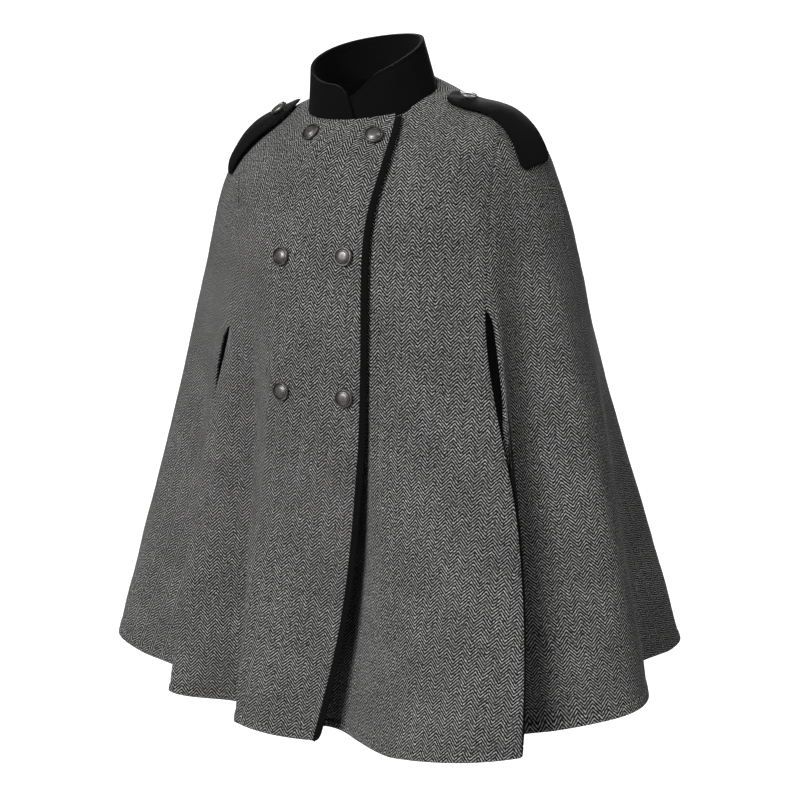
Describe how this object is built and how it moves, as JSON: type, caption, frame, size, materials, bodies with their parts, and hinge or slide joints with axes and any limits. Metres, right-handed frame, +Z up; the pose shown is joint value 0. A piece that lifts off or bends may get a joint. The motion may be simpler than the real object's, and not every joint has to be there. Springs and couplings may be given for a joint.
{
  "type": "cape",
  "caption": "Double-breasted wool cape with a stand collar, shoulder tabs, domed metal buttons and an arm slit at each side, filled out in its worn form.",
  "frame": {"origin": "middle of the neck seam, level with its back, where the wearer's neck and shoulders hold the cape", "axes": "+Z up; the wearer faces -Y, so +X is towards the wearer's left"},
  "size_m": [0.6447, 0.547, 0.7369],
  "materials": {
    "tweed": "black and white herringbone wool, matt",
    "black_wool": "black felted wool, matt",
    "old_silver": "old silver, satin"
  },
  "bodies": {
    "root": {"front_right": "tweed", "front_left": "tweed", "front_edge_band": "black_wool", "side_right": "tweed", "side_left": "tweed", "back": "tweed", "collar": "black_wool", "epaulette_right": "black_wool", "epaulette_left": "black_wool", "button_front_1": "old_silver", "button_front_2": "old_silver", "button_front_3": "old_silver", "button_front_4": "old_silver", "button_front_5": "old_silver", "button_front_6": "old_silver", "button_epaulette_right": "old_silver", "button_epaulette_left": "old_silver"}
  },
  "joints": []
}
